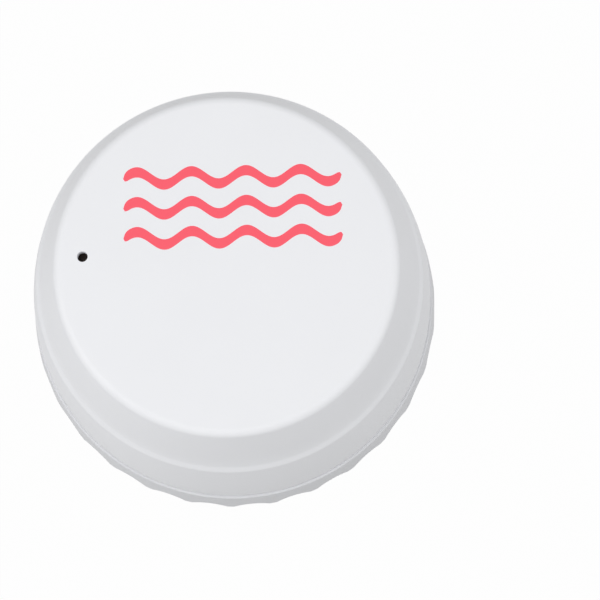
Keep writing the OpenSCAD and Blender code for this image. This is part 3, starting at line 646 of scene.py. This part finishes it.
# Capacitor: an upright electrolytic can on a black foot, with a dark third on its top for the
# negative side. Drawn aluminium with fine upright lines.
CAN_FOOT_H = 1.0 * MM
CAN_TOP_SKIN = 0.02 * MM
CAN_MARK_SHARE = 0.3
material, tree, place = new_material("drawn_aluminium")
can_low, can_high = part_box("storage_capacitor")
split = add_node(tree, "ShaderNodeSeparateXYZ", {0: place}).node
can_mark_x = can_low.x + CAN_MARK_SHARE * (can_high.x - can_low.x)
foot = add_node(
    tree, "ShaderNodeMath", {0: split.outputs["Z"], 1: can_low.z + CAN_FOOT_H}, operation="LESS_THAN"
)
side = add_node(tree, "ShaderNodeMath", {0: split.outputs["X"], 1: can_mark_x}, operation="LESS_THAN")
top = add_node(
    tree, "ShaderNodeMath", {0: split.outputs["Z"], 1: can_high.z - CAN_TOP_SKIN}, operation="GREATER_THAN"
)
mark = add_node(tree, "ShaderNodeMath", {0: side, 1: top}, operation="MULTIPLY")
dark = add_node(tree, "ShaderNodeMath", {0: foot, 1: mark}, operation="MAXIMUM")
two_finishes(tree, dark, ("#C9CBCE", 1.0, 0.3), ("#1F2022", 0.0, 0.5))
dress(material, "storage_capacitor")

# Seal ring: a round rubber ring in the groove of the base's spigot, which the housing slides over.
# The same black EPDM as the washers.
dress(RUBBER, "seal_ring")

# Upper housing: the stepped round cap with the reset hole, which twists on to the base.
# The same ABS as the base, a little whiter, since the base's colour is partly painted shade. Its step is
# drawn softer than the frame's: the face between the tiers is steeper and lies a little further out, with a
# small cove above and edge below.
HOUSING_COLOUR = "#F0F1F4"
STEP_LOW_Z = 28.07 * MM
STEP_HIGH_Z = 29.02 * MM
STEP_TOLERANCE = 0.03 * MM
OUTER_SKIN_R = 30.6 * MM
STEP_TALLER = 0.2 * MM
STEP_WIDER = 0.07 * MM
FOOT_OUT = 0.2 * MM
STEP_COVE = 0.3 * MM
STEP_EDGE = 0.25 * MM
UPPER_WALL_LEAN = radians(15.6)
HOUSING_ABS = moulded("satin_abs_housing", HOUSING_COLOUR, roughness=0.5, grain=ABS_GRAIN, ior=ABS_IOR)


def pick_ring(piece, height):
    """Selects, in edit mode, the edges of the ring at a height on the outer skin, and gives its radius."""
    bpy.ops.object.mode_set(mode="EDIT")
    bpy.ops.mesh.select_mode(type="VERT")
    bpy.ops.mesh.select_all(action="DESELECT")
    bpy.ops.object.mode_set(mode="OBJECT")
    for vertex in piece.data.vertices:
        on_skin = hypot(*vertex.co.xy) > OUTER_SKIN_R
        vertex.select = on_skin and abs(vertex.co.z - height) < STEP_TOLERANCE
    ring_r = max(hypot(*vertex.co.xy) for vertex in piece.data.vertices if vertex.select)
    bpy.ops.object.mode_set(mode="EDIT")
    bpy.ops.mesh.select_mode(type="EDGE")
    return ring_r


bpy.ops.object.select_all(action="DESELECT")
housing = bpy.data.objects.new("stepped_housing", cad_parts["upper_housing"].data.copy())
bpy.context.collection.objects.link(housing)
housing.select_set(True)
bpy.context.view_layer.objects.active = housing
bpy.ops.object.mode_set(mode="EDIT")
bpy.ops.mesh.select_all(action="SELECT")
bpy.ops.mesh.remove_doubles(threshold=0.001 * MM)
bpy.ops.mesh.tris_convert_to_quads(face_threshold=radians(2), shape_threshold=radians(180))
pick_faces(
    housing,
    lambda face: STEP_LOW_Z < face.center.z < STEP_HIGH_Z and hypot(*face.center.xy) > OUTER_SKIN_R
)
bpy.ops.mesh.delete(type="FACE")
foot_shift = FOOT_OUT - STEP_TALLER * tan(UPPER_WALL_LEAN)
foot_scale = 1 + foot_shift / pick_ring(housing, STEP_HIGH_Z)
bpy.ops.transform.resize(value=(foot_scale, foot_scale, 1), center_override=(0, 0, 0))
bpy.ops.transform.translate(value=(0, 0, STEP_TALLER))
bpy.ops.mesh.select_all(action="DESELECT")
bpy.ops.mesh.select_non_manifold()
bpy.ops.mesh.bridge_edge_loops()
edge_scale = 1 + STEP_WIDER / pick_ring(housing, STEP_LOW_Z)
bpy.ops.transform.resize(value=(edge_scale, edge_scale, 1), center_override=(0, 0, 0))
bpy.ops.mesh.bevel(offset=STEP_EDGE, segments=4, affect="EDGES")
pick_ring(housing, STEP_HIGH_Z + STEP_TALLER)
bpy.ops.mesh.bevel(offset=STEP_COVE, segments=8, affect="EDGES")
bpy.ops.object.mode_set(mode="OBJECT")
bpy.ops.object.shade_smooth_by_angle(angle=radians(30))
even_walls = housing.modifiers.new("even_walls", "WEIGHTED_NORMAL")
even_walls.keep_sharp = True
bpy.ops.object.modifier_apply(modifier="even_walls")
housing.data.materials.clear()
housing.data.materials.append(HOUSING_ABS)
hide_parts("upper_housing")
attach(housing, "housing")

# Print on the top: three plain waves, the common sign for water.
# Pad printed in one coral ink, about ten microns thick, with a slight gloss. Its plan is in millimetres.
PRINT_COLOUR = "#FF5B6C"
PRINT_ROWS = (4.4, 9.3, 14.2)
PRINT_FROM, PRINT_TO = -17.0, 18.0
PRINT_MIDDLE = (0.5 * MM, 9.3 * MM)
PRINT_TURN = radians(4)
WAVE_LENGTH = 8.75
WAVE_HEIGHT = 1.05
STROKE = 1.7
INK_DEPTH = 0.008
top_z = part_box("upper_housing")[1][2]


def ink_wave(row):
    """One wavy stroke with round ends, as a thin film on the top."""
    columns = 140
    bpy.ops.object.select_all(action="DESELECT")
    bpy.ops.mesh.primitive_grid_add(x_subdivisions=columns, y_subdivisions=1, size=1)
    wave = bpy.context.object
    for vertex in wave.data.vertices:
        share = vertex.co.x + 0.5
        x = PRINT_FROM + (PRINT_TO - PRINT_FROM) * share
        to_end = min(x - PRINT_FROM, PRINT_TO - x, STROKE / 2)
        half = sqrt(max(0.0, (STROKE / 2) ** 2 - (STROKE / 2 - to_end) ** 2))
        y = row + WAVE_HEIGHT * sin(2 * pi * (x - PRINT_FROM) / WAVE_LENGTH)
        side = 1 if vertex.co.y > 0 else -1
        vertex.co = (x * MM, (y + side * half) * MM, 0)
    bpy.ops.object.mode_set(mode="EDIT")
    bpy.ops.mesh.select_all(action="SELECT")
    bpy.ops.mesh.extrude_region_move(TRANSFORM_OT_translate={"value": (0, 0, 2 * INK_DEPTH * MM)})
    bpy.ops.mesh.select_all(action="SELECT")
    bpy.ops.mesh.remove_doubles(threshold=1e-7)
    bpy.ops.mesh.normals_make_consistent(inside=False)
    bpy.ops.transform.rotate(value=-PRINT_TURN, orient_axis="Z", center_override=(*PRINT_MIDDLE, 0))
    bpy.ops.object.mode_set(mode="OBJECT")
    wave.location.z = top_z - INK_DEPTH * MM
    return wave


top_print = join_pieces([ink_wave(row) for row in PRINT_ROWS], "top_print")
INK_GRAIN = 0.3 * MM
CORAL_INK = moulded("coral_pad_ink", PRINT_COLOUR, roughness=0.4, grain=INK_GRAIN, ior=1.5)
top_print.data.materials.append(CORAL_INK)
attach(top_print, "housing")

# Floor, light and camera: a white sweep under an even sky, with a softbox overhead, one at each side
# and a low one in front, seen from nearly straight above. The floor shows white and keeps the shadow.
FLOOR_SIZE = 4
FLOOR_COLOUR = "#8A8A8A"
FLOOR_SHOWN = 0.985
SKY = 0.565
CAMERA_PLACE = (0.01440, -0.05518, 0.32375)
CAMERA_TILT, CAMERA_TURN = radians(10.016), radians(2.8)
CAMERA_LENS, CAMERA_SENSOR = 108.85, 36
bpy.ops.object.select_all(action="DESELECT")
bpy.ops.mesh.primitive_plane_add(size=FLOOR_SIZE)
floor = bpy.context.object
floor.name = "floor"


def shown_share(tree, shown, lit):
    """One value for rays that show a surface to the eye, and another for the light that it gives."""
    path = add_node(tree, "ShaderNodeLightPath").node
    seen = path.outputs["Is Camera Ray"]
    for ray in ("Is Glossy Ray", "Is Transmission Ray"):
        seen = add_node(tree, "ShaderNodeMath", {0: seen, 1: path.outputs[ray]}, operation="MAXIMUM")
    return add_node(tree, "ShaderNodeMapRange", {"Value": seen, "To Min": lit, "To Max": shown})


material, tree, place = new_material("white_paper_sweep")
paper = add_node(tree, "ShaderNodeBsdfDiffuse", {"Color": linear(FLOOR_COLOUR)})
white = add_node(tree, "ShaderNodeEmission", {"Color": (1, 1, 1, 1), "Strength": 1.0})
mixed = add_node(
    tree, "ShaderNodeMixShader", {0: shown_share(tree, FLOOR_SHOWN, 0.0), 1: paper, 2: white}
)
add_node(tree, "ShaderNodeOutputMaterial", {"Surface": mixed})
floor.data.materials.append(material)

world = bpy.data.worlds.new("studio")
bpy.context.scene.world = world
world.use_nodes = True
world.node_tree.nodes.clear()
tree = world.node_tree
sky = add_node(
    tree, "ShaderNodeBackground", {"Color": (1, 1, 1, 1), "Strength": shown_share(tree, 1.0, SKY)}
)
add_node(tree, "ShaderNodeOutputWorld", {"Surface": sky})


def softbox(name, place, size, watts):
    """A rectangular soft lamp, aimed at the middle of the object."""
    x, y, z = place
    middle_z = (cad_box[0][2] + cad_box[1][2]) / 2
    bpy.ops.object.light_add(type="AREA", location=place)
    lamp = bpy.context.object
    lamp.name = name
    lamp.data.shape = "RECTANGLE"
    lamp.data.size, lamp.data.size_y = size
    lamp.data.energy = watts
    lamp.rotation_euler = (atan2(hypot(x, y), z - middle_z), 0, atan2(x, -y))


softbox("overhead_softbox", place=(-0.16, -0.25, 0.75), size=(0.6, 0.6), watts=1.03)
softbox("left_softbox", place=(-0.5, -0.1, 0.4), size=(0.5, 0.5), watts=0.92)
softbox("front_softbox", place=(-0.25, -0.55, 0.24), size=(0.4, 0.3), watts=0.43)
softbox("right_softbox", place=(0.5, 0.06, 0.36), size=(0.5, 0.5), watts=0.89)

bpy.ops.object.camera_add(location=CAMERA_PLACE)
camera = bpy.context.object
camera.name = "camera"
camera.rotation_euler = (CAMERA_TILT, 0, CAMERA_TURN)
camera.data.lens = CAMERA_LENS
camera.data.sensor_width = CAMERA_SENSOR
camera.data.clip_start = 0.01
bpy.context.scene.camera = camera
bpy.context.scene.view_settings.view_transform = "Standard"
